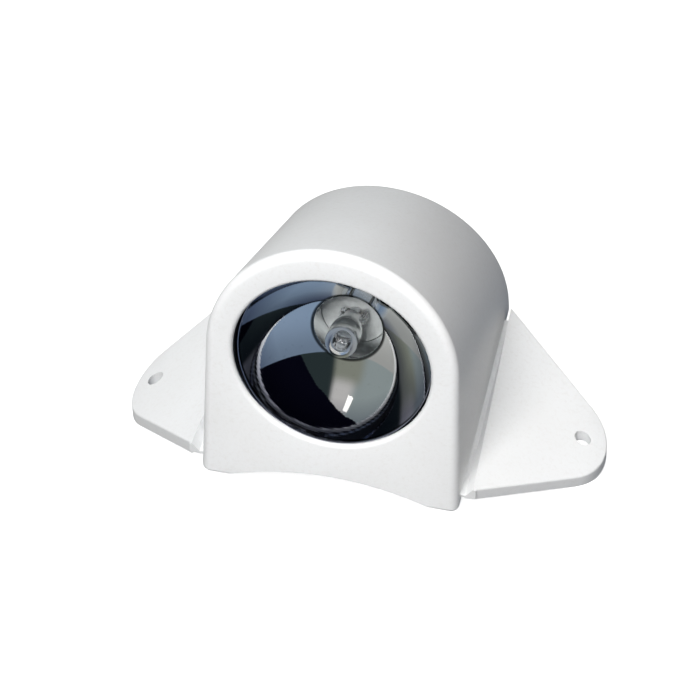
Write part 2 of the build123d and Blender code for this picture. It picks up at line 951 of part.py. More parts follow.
# Table frame
def lowest_ear_point(side, up):
    """Lowest point of an ear's bottom outline when up is the given direction."""
    droop = ear_droop_angle[side]
    flip = 1 if side == "right" else -1
    frame = slope_frame(droop)
    seen = Vector(up.X * flip, up.Y, up.Z)
    fall = Vector(-frame.x_dir.dot(seen), -frame.y_dir.dot(seen), 0).normalized()
    point = frame.from_local_coords(ear_tip_centre() + fall * ear_tip_radius)
    return Vector(point.X * flip, point.Y, point.Z - ear_thickness / cosine(droop))


def table_frame():
    """Plane through the right front foot and both ear tips, found by turning until they agree."""
    foot = Vector(saddle_half_width + foot_fillet, 0, 0)
    up = Vector(0, 0, 1)
    for step in range(20):
        right = lowest_ear_point("right", up)
        left = lowest_ear_point("left", up)
        up = (right - foot).cross(left - foot).normalized()
        up = up if up.Z > 0 else up * -1
    across = Vector(1, 0, 0)
    across = (across - up * across.dot(up)).normalized()
    return Plane(foot, x_dir=across, z_dir=up)


def all_pieces():
    return {
        "housing_shell": housing_shell(),
        "ear_left": ear("left"),
        "ear_right": ear("right"),
        "lamp_collar": lamp_collar(),
        "collar_screws": collar_screws(),
        "retaining_spring": retaining_spring(),
        "lamp_reflector": lamp_reflector(),
        "bulb_capsule": bulb_capsule(),
        "bulb_filament": bulb_filament(),
        "filament_posts": filament_posts(),
        "bulb_foils": bulb_foils(),
        "bulb_leads": bulb_leads(),
        "lamp_cement": lamp_cement(),
        "lamp_base": lamp_base(),
        "lamp_pins": lamp_pins(),
        "lamp_holder": lamp_holder(),
        "holder_contacts": holder_contacts(),
        "holder_screws": holder_screws(),
        "holder_bracket": holder_bracket(),
        "bracket_screws": bracket_screws(),
        "terminal_block": terminal_block(),
        "terminal_tubes": terminal_tubes(),
        "terminal_screws": terminal_screws(),
        "block_screw": block_screw(),
        "lead_wire_red": lead(1),
        "lead_wire_black": lead(-1),
        "lead_ends": lead_ends(),
    }


def placement(pieces):
    """Turn from the mast frame to the table, with the origin under the middle of the light."""
    turn = table_frame().location.inverse()
    box = Compound(children=[turn * piece for piece in pieces.values()]).bounding_box()
    centre = box.center()
    return Pos(-centre.X, -centre.Y, -box.min.Z) * turn


pieces = all_pieces()
place = placement(pieces)
os.makedirs("parts", exist_ok=True)
for name, piece in pieces.items():
    export_step(place * piece, f"parts/{name}.step")
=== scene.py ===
import bmesh
import bpy
import json
import math
from mathutils import Matrix, Vector


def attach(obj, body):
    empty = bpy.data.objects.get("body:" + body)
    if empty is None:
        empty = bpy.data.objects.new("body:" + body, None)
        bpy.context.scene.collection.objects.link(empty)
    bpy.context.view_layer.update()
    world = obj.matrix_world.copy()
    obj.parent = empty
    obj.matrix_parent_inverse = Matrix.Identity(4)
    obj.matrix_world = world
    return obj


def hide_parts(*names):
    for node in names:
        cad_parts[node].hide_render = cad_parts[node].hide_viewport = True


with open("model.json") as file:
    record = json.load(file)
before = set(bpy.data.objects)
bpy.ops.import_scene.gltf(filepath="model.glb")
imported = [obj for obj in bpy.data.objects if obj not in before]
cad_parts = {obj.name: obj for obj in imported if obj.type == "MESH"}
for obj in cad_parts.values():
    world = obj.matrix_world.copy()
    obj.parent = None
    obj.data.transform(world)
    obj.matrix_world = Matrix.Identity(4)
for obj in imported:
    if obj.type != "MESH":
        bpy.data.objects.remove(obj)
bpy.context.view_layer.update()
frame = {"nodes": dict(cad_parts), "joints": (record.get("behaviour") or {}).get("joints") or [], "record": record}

# Driving sizes in metres, the same as the CAD's
MM = 0.001
HOUSING_DEPTH = 77.6 * MM
SADDLE_RADIUS = 82.0 * MM
SADDLE_HALF_WIDTH = 29.8 * MM
AXIS_HEIGHT = 45.4 * MM
FACE_LEAN = math.radians(9.8)
LAMP_TILT = math.radians(8.1)

# Bowl, as depths behind the mouth along the lamp's axis
BOWL_RADIUS = 26.6 * MM
BOWL_DEPTH = 5.5 * MM
BOWL_ASPECT = 1.4
BOWL_WALL = 0.6 * MM
RIM_RADIUS = 27.1 * MM
RIM_DEPTH = 4.3 * MM
RIM_THICKNESS = 2.0 * MM
NECK_RADIUS = 9.6 * MM
NECK_DEPTH = 20.8 * MM
NECK_END_DEPTH = 32.0 * MM
CEMENT_DEPTH = 29.5 * MM
CEMENT_THICKNESS = 1.2 * MM
CEMENT_DISH = 0.5 * MM
CEMENT_CLEARANCE = 0.1 * MM
NECK_LIP = 0.5 * MM
RIM_BEAD = 0.25 * MM

# Bulb
CAPSULE_RADIUS = 4.5 * MM
CAPSULE_GLASS = 0.8 * MM
CAPSULE_TIP_DEPTH = 8.5 * MM
CAPSULE_WAIST_DEPTH = 17.5 * MM
CAPSULE_THROAT_DEPTH = 25.4 * MM
PINCH_WIDTH = 8.0 * MM
PINCH_THICKNESS = 3.0 * MM
PINCH_END_DEPTH = 36.0 * MM
PINCH_RIB = 0.9 * MM
COIL_RADIUS = 0.6 * MM
COIL_PITCH = 0.5 * MM
COIL_LENGTH = 3.5 * MM
COIL_WIRE = 0.13 * MM
COIL_DEPTH = 14.0 * MM

# Spring and screws
FACE_WALL = 3.0 * MM
SPRING_RADIUS = 28.1 * MM
SPRING_WIRE = 0.4 * MM
SPRING_GAP = math.radians(24.0)
SEAT_GAP = 0.05 * MM
THREAD_PITCH = 0.7 * MM

# Bare strands round a middle one, in each lead's end
STRANDS_AROUND = 6
STRAND_TURNS = 0.9

# How finely round shapes are cut
BOWL_SEGMENTS = 288
BOWL_STEPS = 120
BOWL_BACK_STEPS = 24
CEMENT_SEGMENTS = 96
CEMENT_STEPS = 10
CAPSULE_SEGMENTS = 64
CAPSULE_TIP_STEPS = 14
CAPSULE_WAIST_STEPS = 12
COIL_STEPS = 20
SCREW_SEGMENTS = 40
STRAND_STEPS = 24
SPRING_STEPS = 120
SPRING_SIDES = 14
WIRE_SIDES = 10

# Camera, fitted to the edges of the light as the photograph shows it
CAMERA_PLACE = Vector((180.08, -876.66, 421.39)) * MM
CAMERA_AIM = Vector((4.465, -33.652, 48.914)) * MM
CAMERA_ROLL = math.radians(2.386)
CAMERA_LENS = 180.24
CAMERA_SENSOR = 36.0


# Frames of the light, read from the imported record
def columns(x_axis, y_axis, z_axis, origin):
    """Matrix that takes local points to the table frame."""
    turn = Matrix((x_axis, y_axis, z_axis)).transposed().to_4x4()
    return Matrix.Translation(origin) @ turn


mounts = {mount["name"]: mount for mount in frame["record"]["mounts"]}
joints = {joint["name"]: joint for joint in frame["joints"]}
off_mast = -Vector(mounts["mast_seat"]["axis"])
lamp_out = Vector(joints["lamp_pull"]["axis"])
along_mast = (off_mast * lamp_out.dot(off_mast) - lamp_out).normalized()
across = along_mast.cross(off_mast).normalized()
saddle_depth = SADDLE_RADIUS - math.sqrt(SADDLE_RADIUS**2 - SADDLE_HALF_WIDTH**2)
seat_front = Vector(mounts["mast_seat"]["pos_m"]) - along_mast * HOUSING_DEPTH / 2
seat_front -= off_mast * saddle_depth
mast_frame = columns(across, along_mast, off_mast, seat_front)
mouth_up = Vector((0, math.sin(FACE_LEAN), math.cos(FACE_LEAN)))
mouth_centre = mast_frame @ (mouth_up * AXIS_HEIGHT)
lamp_frame = columns(across, lamp_out.cross(across), lamp_out, mouth_centre)
face_frame = lamp_frame @ Matrix.Rotation(LAMP_TILT, 4, "X")


# Screws: local frame, shank radius, head height, width and depth of the driver slot
SCREWS = {
    "collar_screws": (face_frame, 1.1 * MM, 1.4 * MM, 0.6 * MM, 0.7 * MM),
    "holder_screws": (lamp_frame, 1.5 * MM, 1.8 * MM, 0.6 * MM, 0.7 * MM),
    "bracket_screws": (mast_frame, 1.6 * MM, 2.0 * MM, 0.6 * MM, 0.7 * MM),
    "block_screw": (mast_frame, 1.07 * MM, 1.4 * MM, 0.6 * MM, 0.7 * MM),
    "terminal_screws": (mast_frame, 1.1 * MM, 0.0, 0.4 * MM, 0.5 * MM),
}


def eased(low, high, value):
    """Smooth 0 to 1 as the value goes from one end to the other."""
    share = min(max((value - low) / (high - low), 0.0), 1.0)
    return share * share * (3 - 2 * share)


# Shader helpers
class Finish:
    """A material under construction: a principled shader with procedural detail on it."""

    def __init__(self, name, colour, roughness, metallic=0.0):
        self.material = bpy.data.materials.new(name)
        self.material.use_nodes = True
        self.nodes = self.material.node_tree.nodes
        self.links = self.material.node_tree.links
        self.shader = self.nodes["Principled BSDF"]
        self.colour = colour
        self.roughness = roughness
        self.shader.inputs["Metallic"].default_value = metallic
        self.place = self.nodes.new("ShaderNodeTexCoord").outputs["Object"]
        self.painted = None
        self.bumped = None

    def set(self, **values):
        for name, value in values.items():
            self.shader.inputs[name.replace("_", " ")].default_value = value
        return self

    def mapped(self, matrix=None, scale=(1, 1, 1)):
        """Object coordinates seen from a local frame of the light."""
        node = self.nodes.new("ShaderNodeMapping")
        self.links.new(self.place, node.inputs["Vector"])
        if matrix is not None:
            back = matrix.inverted()
            node.inputs["Location"].default_value = back.to_translation()
            node.inputs["Rotation"].default_value = back.to_euler()
        stretch = self.nodes.new("ShaderNodeVectorMath")
        stretch.operation = "MULTIPLY"
        stretch.inputs[1].default_value = scale
        self.links.new(node.outputs["Vector"], stretch.inputs[0])
        return stretch.outputs["Vector"]

    def noise(self, scale, detail=3.0, roughness=0.5, place=None):
        node = self.nodes.new("ShaderNodeTexNoise")
        node.inputs["Scale"].default_value = scale
        node.inputs["Detail"].default_value = detail
        node.inputs["Roughness"].default_value = roughness
        self.links.new(place or self.place, node.inputs["Vector"])
        return node.outputs["Fac"]

    def cells(self, scale, place=None):
        node = self.nodes.new("ShaderNodeTexVoronoi")
        node.inputs["Scale"].default_value = scale
        self.links.new(place or self.place, node.inputs["Vector"])
        return node.outputs["Distance"]

    def rings(self, scale, place):
        """Fine turning lines round the local Z axis."""
        node = self.nodes.new("ShaderNodeTexWave")
        node.wave_type = "RINGS"
        node.rings_direction = "Z"
        node.inputs["Scale"].default_value = scale
        node.inputs["Distortion"].default_value = 0.6
        self.links.new(place, node.inputs["Vector"])
        return node.outputs["Fac"]

    def radius(self, place):
        """Distance from the local Z axis."""
        flat = self.nodes.new("ShaderNodeVectorMath")
        flat.operation = "MULTIPLY"
        flat.inputs[1].default_value = (1, 1, 0)
        self.links.new(place, flat.inputs[0])
        length = self.nodes.new("ShaderNodeVectorMath")
        length.operation = "LENGTH"
        self.links.new(flat.outputs["Vector"], length.inputs[0])
        return length.outputs["Value"]

    def spread(self, value, low, high, start=0.3, stop=0.7):
        """The value's middle range stretched to run from low to high."""
        node = self.nodes.new("ShaderNodeMapRange")
        node.inputs["From Min"].default_value = start
        node.inputs["From Max"].default_value = stop
        node.inputs["To Min"].default_value = low
        node.inputs["To Max"].default_value = high
        self.links.new(value, node.inputs["Value"])
        return node.outputs["Result"]

    def tint(self, value, other, start=0.3, stop=0.7):
        """Mix the colour so far towards another where the value is high."""
        node = self.nodes.new("ShaderNodeMix")
        node.data_type = "RGBA"
        if self.painted:
            self.links.new(self.painted, node.inputs["A"])
        else:
            node.inputs["A"].default_value = (*self.colour, 1)
        node.inputs["B"].default_value = (*other, 1)
        self.links.new(self.spread(value, 0.0, 1.0, start, stop), node.inputs["Factor"])
        self.painted = node.outputs["Result"]
        self.links.new(self.painted, self.shader.inputs["Base Color"])
        return self

    def rough(self, value, spread):
        low = max(self.roughness - spread, 0.01)
        self.links.new(self.spread(value, low, self.roughness + spread), self.shader.inputs["Roughness"])
        return self

    def bump(self, value, height, strength=1.0):
        """Relief of a height in metres, on top of any relief made before."""
        node = self.nodes.new("ShaderNodeBump")
        node.inputs["Strength"].default_value = strength
        node.inputs["Distance"].default_value = height
        self.links.new(value, node.inputs["Height"])
        if self.bumped:
            self.links.new(self.bumped, node.inputs["Normal"])
        self.bumped = node.outputs["Normal"]
        self.links.new(self.bumped, self.shader.inputs["Normal"])
        return self


def white_plastic():
    """Satin white moulding with the fine pebbles of a sparked mould and a little grime."""
    finish = Finish("white_plastic", (0.83, 0.84, 0.845), 0.44)
    finish.set(IOR=1.5)
    finish.tint(finish.noise(34.0, 4.0), (0.80, 0.805, 0.805))
    finish.tint(finish.noise(900.0, 3.0, 0.7), (0.76, 0.755, 0.745), 0.5, 0.85)
    finish.rough(finish.noise(700.0, 2.0), 0.07)
    finish.bump(finish.noise(60.0, 2.0), 0.00010, 0.5)
    finish.bump(finish.noise(1500.0, 3.0, 0.6), 0.00005, 0.7)
    finish.bump(finish.cells(1700.0), 0.00002, 0.4)
    return finish.material


def black_plastic():
    finish = Finish("black_plastic", (0.010, 0.010, 0.012), 0.36)
    finish.tint(finish.noise(160.0, 3.0), (0.018, 0.018, 0.021))
    finish.rough(finish.noise(900.0), 0.08)
    finish.bump(finish.noise(3200.0, 2.0), 0.00002, 0.6)
    return finish.material


def bright_bowl():
    """Bright pressed metal, with faint spinning lines and the soft ripple of the pressing. It also carries painted
    reflections: the metal is painted darker and bluer towards the rim, and a dark ring is painted on the neck's
    lip.
    """
    finish = Finish("bright_bowl", (0.84, 0.855, 0.86), 0.03, 1.0)
    local = finish.mapped(lamp_frame)
    finish.tint(finish.noise(70.0, 2.0, 0.5, local), (0.79, 0.81, 0.82))
    finish.tint(finish.noise(520.0, 4.0, 0.7, local), (0.66, 0.67, 0.66), 0.62, 0.8)
    radius = finish.radius(local)
    # Painted reflection: the metal turns dark blue-grey towards the rim, in place of the dark reflections there.
    finish.tint(radius, (0.30, 0.31, 0.38), BOWL_RADIUS - 7.5 * MM, BOWL_RADIUS - 1.0 * MM)
    # Painted reflection: a dark ring over the neck's rolled lip, with the plain metal colour back again inside the
    # neck tube.
    finish.tint(radius, (0.05, 0.055, 0.055), NECK_RADIUS + 1.1 * MM, NECK_RADIUS + 0.6 * MM)
    finish.tint(radius, (0.80, 0.815, 0.82), NECK_RADIUS + 0.25 * MM, NECK_RADIUS + 0.1 * MM)
    finish.rough(finish.noise(420.0, 3.0, 0.5, local), 0.015)
    finish.bump(finish.noise(110.0, 1.0, 0.4, local), 0.00004, 0.5)
    finish.bump(finish.rings(900.0, local), 0.000001, 0.5)
    return finish.material


def clear_quartz():
    finish = Finish("clear_quartz", (0.97, 0.98, 1.0), 0.015)
    finish.set(IOR=1.46, Transmission_Weight=1.0)
    local = finish.mapped(lamp_frame)
    finish.tint(finish.noise(300.0, 2.0, 0.5, local), (0.92, 0.95, 0.98))
    finish.rough(finish.noise(500.0, 2.0, 0.5, local), 0.01)
    finish.bump(finish.noise(260.0, 1.0, 0.5, local), 0.00012, 0.5)
    return finish.material


def tungsten_wire():
    finish = Finish("tungsten_wire", (0.42, 0.41, 0.40), 0.35, 1.0)
    finish.tint(finish.noise(2000.0), (0.30, 0.29, 0.28))
    finish.rough(finish.noise(4000.0), 0.1)
    finish.bump(finish.noise(9000.0), 0.00001, 0.6)
    return finish.material


def white_ceramic():
    """Unglazed fired body with pin-prick pores."""
    finish = Finish("white_ceramic", (0.78, 0.77, 0.73), 0.75)
    finish.tint(finish.noise(240.0, 4.0), (0.69, 0.675, 0.635))
    finish.rough(finish.noise(800.0), 0.08)
    finish.bump(finish.noise(1500.0, 4.0, 0.7), 0.00008, 0.7)
    finish.bump(finish.cells(1300.0), 0.00003, 0.4)
    return finish.material


def grey_cement():
    """Coarse refractory paste with the marks of the tool that pressed it in."""
    finish = Finish("grey_cement", (0.60, 0.625, 0.62), 0.85)
    finish.tint(finish.noise(420.0, 5.0, 0.7), (0.44, 0.46, 0.455))
    finish.rough(finish.noise(900.0), 0.08)
    finish.bump(finish.noise(650.0, 5.0, 0.7), 0.00025, 0.8)
    return finish.material


def nickel_plate():
    finish = Finish("nickel_plate", (0.70, 0.69, 0.65), 0.24, 1.0)
    finish.tint(finish.noise(500.0), (0.58, 0.57, 0.53))
    finish.rough(finish.noise(1500.0), 0.07)
    finish.bump(finish.noise(6000.0), 0.00001, 0.5)
    return finish.material


def brushed_steel():
    """Rolled sheet and wire, with the grain running across the light."""
    finish = Finish("brushed_steel", (0.62, 0.63, 0.65), 0.3, 1.0)
    grain = finish.mapped(mast_frame, (120.0, 4200.0, 4200.0))
    finish.tint(finish.noise(200.0, 4.0), (0.50, 0.51, 0.53))
    finish.rough(finish.noise(1.0, 2.0, 0.5, grain), 0.1)
    finish.bump(finish.noise(1.0, 2.0, 0.5, grain), 0.00002, 0.6)
    return finish.material


def turned_brass():
    finish = Finish("turned_brass", (0.70, 0.53, 0.24), 0.26, 1.0)
    finish.tint(finish.noise(300.0, 4.0), (0.52, 0.38, 0.18))
    finish.rough(finish.noise(1100.0), 0.09)
    finish.bump(finish.noise(3500.0), 0.00002, 0.5)
    return finish.material


def milky_nylon():
    finish = Finish("milky_nylon", (0.80, 0.79, 0.72), 0.45)
    finish.set(Subsurface_Weight=0.2, Subsurface_Scale=0.002)
    finish.tint(finish.noise(130.0, 3.0), (0.74, 0.73, 0.66))
    finish.rough(finish.noise(900.0), 0.07)
    finish.bump(finish.noise(2600.0), 0.00003, 0.6)
    return finish.material


def wire_cover(name, colour, worn):
    finish = Finish(name, colour, 0.5)
    finish.tint(finish.noise(600.0), worn)
    finish.rough(finish.noise(1500.0), 0.08)
    finish.bump(finish.noise(3000.0), 0.00003, 0.5)
    return finish.material


def tinned_copper():
    finish = Finish("tinned_copper", (0.72, 0.42, 0.26), 0.3, 1.0)
    finish.tint(finish.noise(900.0), (0.66, 0.60, 0.55))
    finish.rough(finish.noise(2500.0), 0.08)
    finish.bump(finish.noise(7000.0), 0.00001, 0.5)
    return finish.material


FINISHES = {
    "white_plastic": white_plastic(),
    "black_plastic": black_plastic(),
    "bright_bowl": bright_bowl(),
    "quartz": clear_quartz(),
    "tungsten": tungsten_wire(),
    "ceramic": white_ceramic(),
    "nickel": nickel_plate(),
    "steel": brushed_steel(),
    "brass": turned_brass(),
    "nylon": milky_nylon(),
    "red_cover": wire_cover("red_cover", (0.50, 0.025, 0.018), (0.40, 0.03, 0.025)),
    "black_cover": wire_cover("black_cover", (0.015, 0.015, 0.016), (0.03, 0.03, 0.03)),
    "copper": tinned_copper(),
}
OWN_FINISH = {"lamp_cement": grey_cement()}
SLOT_OF = {part["node"]: part["material_slot"] for part in frame["record"]["subparts"]}
BODY_OF = {
    node: body for body, nodes in frame["record"]["behaviour"]["bodies"].items() for node in nodes
}


# Mesh helpers
SMOOTH_ANGLE = math.radians(28.0)
MERGE_DISTANCE = 0.000002


def merged(mesh):
    """The mesh with its doubles merged, as an open bmesh."""
    work = bmesh.new()
    work.from_mesh(mesh)
    bmesh.ops.remove_doubles(work, verts=work.verts, dist=MERGE_DISTANCE)
    return work


def settle(work, mesh):
    """Write the bmesh back, smooth except at its hard edges."""
    for edge in work.edges:
        edge.smooth = edge.is_manifold and edge.calc_face_angle(0.0) < SMOOTH_ANGLE
    for face in work.faces:
        face.smooth = True
    work.to_mesh(mesh)
    work.free()
    if mesh.attributes.get("custom_normal"):
        mesh.attributes.remove(mesh.attributes["custom_normal"])


def stand_for(node, mesh):
    """Put a mesh in place of a CAD node, on the node's body and with its finish."""
    mesh.materials.clear()
    mesh.materials.append(OWN_FINISH.get(node) or FINISHES[SLOT_OF[node]])
    piece = bpy.data.objects.new(node + "_skin", mesh)
    bpy.context.scene.collection.objects.link(piece)
    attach(piece, BODY_OF[node])
    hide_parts(node)
    return piece


def smoothed(node):
    """A merged copy of a CAD node that shades smoothly, in place of the node's loose triangles."""
    mesh = frame["nodes"][node].data.copy()
    settle(merged(mesh), mesh)
    return stand_for(node, mesh)


def islands(node, matrix):
    """Lowest and highest corner of each solid of a CAD node, in a local frame."""
    work = merged(frame["nodes"][node].data)
    work.transform(matrix.inverted())
    left = set(work.verts)
    boxes = []
    while left:
        reached = [left.pop()]
        for vert in reached:
            for edge in vert.link_edges:
                other = edge.other_vert(vert)
                if other in left:
                    left.remove(other)
                    reached.append(other)
        corners = [vert.co for vert in reached]
        low = Vector(min(corner[axis] for corner in corners) for axis in range(3))
        high = Vector(max(corner[axis] for corner in corners) for axis in range(3))
        boxes.append((low, high))
    work.free()
    return sorted(boxes, key=lambda box: tuple(box[0]))


def points_mesh(name, points):
    mesh = bpy.data.meshes.new(name)
    mesh.from_pydata(points, [], [])
    return mesh


# Geometry Nodes helpers
class Tree:
    """A geometry node tree under construction, with named inputs."""

    def __init__(self, name):
        self.group = bpy.data.node_groups.new(name, "GeometryNodeTree")
        self.socket("Geometry", "Geometry", "OUTPUT")
        self.start = self.group.nodes.new("NodeGroupInput")
        self.end = self.group.nodes.new("NodeGroupOutput")
        self.base = self.input("Geometry", "Geometry")

    def socket(self, name, kind, side):
        self.group.interface.new_socket(name, in_out=side, socket_type="NodeSocket" + kind)

    def input(self, name, kind="Float"):
        self.socket(name, kind, "INPUT")
        return self.start.outputs[name]

    def add(self, kind, feeds=None, **settings):
        """A node with its settings, and its sockets linked or set."""
        node = self.group.nodes.new(kind)
        for name, value in settings.items():
            setattr(node, name, value)
        for place, value in (feeds or {}).items():
            if isinstance(value, bpy.types.NodeSocket):
                self.group.links.new(value, node.inputs[place])
            else:
                node.inputs[place].default_value = value
        return node.outputs[0] if node.outputs else None

    def work(self, operation, first, second=0.0):
        return self.add("ShaderNodeMath", {0: first, 1: second}, operation=operation)

    def vector(self, x=0.0, y=0.0, z=0.0):
        return self.add("ShaderNodeCombineXYZ", {"X": x, "Y": y, "Z": z})

    def tube(self, curve, radius, sides):
        """Round wire with closed ends along a curve."""
        ring = self.add("GeometryNodeCurvePrimitiveCircle", {"Resolution": sides, "Radius": radius})
        return self.add(
            "GeometryNodeCurveToMesh", {"Curve": curve, "Profile Curve": ring, "Fill Caps": True})

    def close(self, geometry):
        """End the tree with plain geometry in the piece's finish."""
        finish = self.input("Finish", "Material")
        whole = self.add("GeometryNodeRealizeInstances", {"Geometry": geometry})
        dressed = self.add("GeometryNodeSetMaterial", {"Geometry": whole, "Material": finish})
        self.group.links.new(dressed, self.end.inputs[0])


def grown(tree, mesh, node, matrix, **values):
    """Plain mesh that a tree makes of a base mesh, placed in a local frame and facing outwards."""
    values["Finish"] = FINISHES[SLOT_OF[node]]
    source = bpy.data.objects.new("source", mesh)
    bpy.context.scene.collection.objects.link(source)
    modifier = source.modifiers.new("grow", "NODES")
    modifier.node_group = tree.group
    for item in tree.group.interface.items_tree:
        key = item.name.replace(" ", "_")
        if item.in_out == "INPUT" and key in values:
            modifier[item.identifier] = values[key]
    result = bpy.data.meshes.new_from_object(
        source.evaluated_get(bpy.context.evaluated_depsgraph_get()))
    source.modifiers.clear()
    bpy.data.objects.remove(source)
    work = merged(result)
    work.transform(matrix)
    bmesh.ops.recalc_face_normals(work, faces=work.faces)
    settle(work, result)
    return result


def turning_tree():
    """Turns a profile, given as points in the XZ plane, round the Z axis."""
    tree = Tree("turning")
    segments = tree.input("Segments", "Int")
    size = tree.add("GeometryNodeAttributeDomainSize", {"Geometry": tree.base}, component="MESH")
    grid = tree.add(
        "GeometryNodeMeshGrid", {"Vertices X": tree.work("ADD", segments, 1.0), "Vertices Y": size})
    index = tree.add("GeometryNodeInputIndex")
    step = tree.work("FLOOR", tree.work("DIVIDE", index, size))
    along = tree.work("MODULO", index, size)
    where = tree.add("GeometryNodeInputPosition")
    point = tree.add(
        "GeometryNodeSampleIndex", {"Geometry": tree.base, "Value": where, "Index": along},
        data_type="FLOAT_VECTOR")
    angle = tree.work("MULTIPLY", tree.work("DIVIDE", step, segments), math.tau)
    swung = tree.add(
        "ShaderNodeVectorRotate", {"Vector": point, "Angle": angle}, rotation_type="Z_AXIS")
    placed = tree.add("GeometryNodeSetPosition", {"Geometry": grid, "Position": swung})
    tree.close(tree.add("GeometryNodeMergeByDistance", {"Geometry": placed, "Distance": MERGE_DISTANCE}))
    return tree


def coil_tree():
    """Wire wound into an open coil along Z."""
    tree = Tree("coil")
    spiral = tree.add("GeometryNodeCurveSpiral", {
        "Resolution": tree.input("Steps", "Int"), "Rotations": tree.input("Turns"),
        "Start Radius": tree.input("Radius"), "End Radius": tree.start.outputs["Radius"],
        "Height": tree.input("Length")})
    tree.close(tree.tube(spiral, tree.input("Wire"), WIRE_SIDES))
    return tree


def ring_tree():
    """Open wire ring in the XY plane."""
    tree = Tree("wire_ring")
    bend = tree.add("GeometryNodeCurveArc", {
        "Resolution": SPRING_STEPS, "Radius": tree.input("Radius"),
        "Start Angle": tree.input("Start"), "Sweep Angle": tree.input("Sweep")})
    tree.close(tree.tube(bend, tree.input("Wire"), SPRING_SIDES))
    return tree


def screw_tree():
    """Cuts the driver slot into the turned blank and sets a copy on each marked point."""
    tree = Tree("screws")
    marked = tree.add("GeometryNodeInputNamedAttribute", {"Name": "place"}, data_type="BOOLEAN")
    parted = tree.group.nodes.new("GeometryNodeSeparateGeometry")
    tree.group.links.new(tree.base, parted.inputs["Geometry"])
    tree.group.links.new(marked, parted.inputs["Selection"])
    cutter = tree.add("GeometryNodeMeshCube", {
        "Size": tree.vector(tree.input("Span"), tree.input("Slot"), tree.input("Depth"))})
    cutter = tree.add("GeometryNodeTransform", {
        "Geometry": cutter, "Translation": tree.vector(0.0, 0.0, tree.input("Top"))})
    blank = tree.add(
        "GeometryNodeMeshBoolean", {0: parted.outputs["Inverted"], 1: cutter}, solver="EXACT")
    tree.close(tree.add("GeometryNodeInstanceOnPoints", {
        "Points": parted.outputs["Selection"], "Instance": blank}))
    return tree


def strand_tree():
    """Twisted bare strands round a middle one, along Z."""
    tree = Tree("strands")
    count = tree.input("Strands", "Int")
    lay = tree.input("Lay")
    length = tree.input("Length")
    wire = tree.input("Wire")
    spiral = tree.add("GeometryNodeCurveSpiral", {
        "Resolution": STRAND_STEPS, "Rotations": tree.input("Turns"), "Start Radius": lay,
        "End Radius": lay, "Height": length})
    spots = tree.add("GeometryNodePoints", {"Count": count})
    turn = tree.work("DIVIDE", tree.work("MULTIPLY", tree.add("GeometryNodeInputIndex"), math.tau), count)
    around = tree.add("GeometryNodeInstanceOnPoints", {
        "Points": spots, "Instance": tree.tube(spiral, wire, WIRE_SIDES),
        "Rotation": tree.vector(0.0, 0.0, turn)})
    middle = tree.add("GeometryNodeCurvePrimitiveLine", {"End": tree.vector(0.0, 0.0, length)})
    bundle = tree.group.nodes.new("GeometryNodeJoinGeometry")
    for part in (around, tree.tube(middle, wire, WIRE_SIDES)):
        tree.group.links.new(part, bundle.inputs["Geometry"])
    tree.close(bundle.outputs["Geometry"])
    return tree


TURNING = turning_tree()
COIL = coil_tree()
RING = ring_tree()
SCREW = screw_tree()
STRANDS = strand_tree()


def turned(name, profile, segments, node, matrix=None):
    """Closed piece turned from points of radius and height."""
    points = [(radius, 0.0, height) for radius, height in profile]
    return grown(TURNING, points_mesh(name, points), node, matrix or Matrix(), Segments=segments)


def joined(name, meshes):
    """One mesh from several, with every part's faces as they are."""
    work = bmesh.new()
    for mesh in meshes:
        work.from_mesh(mesh)
    whole = bpy.data.meshes.new(name)
    settle(work, whole)
    return whole


def arc(centre, radius, start, stop, steps):
    """Points of a round corner, as radius and height, angles from the outward direction."""
    angles = [start + (stop - start) * step / steps for step in range(steps + 1)]
    return [(centre[0] + radius * math.cos(a), centre[1] + radius * math.sin(a)) for a in angles]


# Reflector
def bowl_curve():
    """Centre depth, radius and length of the ellipse whose stretch from rim to neck is the bowl."""
    height = NECK_DEPTH - BOWL_DEPTH
    slope = (BOWL_RADIUS**2 - NECK_RADIUS**2) / height - height / BOWL_ASPECT**2
    radius = math.sqrt(BOWL_RADIUS**2 + (slope * BOWL_ASPECT / 2)**2)
    return BOWL_DEPTH - slope * BOWL_ASPECT**2 / 2, radius, radius * BOWL_ASPECT


def bowl_stretch(offset, start_radius, end_radius, steps):
    """Points along the bowl's ellipse, or its back, between two radii."""
    centre, wide, long = bowl_curve()
    wide += offset
    long += offset
    start = math.acos(start_radius / wide)
    stop = math.acos(end_radius / wide)
    angles = [start + (stop - start) * step / steps for step in range(steps + 1)]
    return [(wide * math.cos(a), -centre - long * math.sin(a)) for a in angles]


def bowl_back_radius(depth):
    centre, wide, long = bowl_curve()
    return (wide + BOWL_WALL) * math.sqrt(1 - ((depth - centre) / (long + BOWL_WALL))**2)


def lamp_reflector():
    """Bright bowl with a rolled rim, a soft lip at the neck and a plain socket tube."""
    back_rim = RIM_DEPTH + RIM_THICKNESS
    neck_outer = NECK_RADIUS + BOWL_WALL
    lip_radius = NECK_RADIUS + NECK_LIP
    bead_radius = RIM_RADIUS - RIM_BEAD
    profile = bowl_stretch(0, BOWL_RADIUS, lip_radius, BOWL_STEPS)
    profile += arc((lip_radius, profile[-1][1] - NECK_LIP), NECK_LIP, math.pi / 2, math.pi, 6)[1:]
    profile += [(NECK_RADIUS, -NECK_END_DEPTH), (neck_outer, -NECK_END_DEPTH)]
    profile += bowl_stretch(BOWL_WALL, neck_outer, bowl_back_radius(back_rim), BOWL_BACK_STEPS)
    profile += arc((bead_radius, -back_rim + RIM_BEAD), RIM_BEAD, -math.pi / 2, 0.0, 5)
    profile += arc((bead_radius, -RIM_DEPTH - RIM_BEAD), RIM_BEAD, 0.0, math.pi, 10)
    profile += [profile[0]]
    stand_for("lamp_reflector", turned("bowl", profile, BOWL_SEGMENTS, "lamp_reflector", lamp_frame))


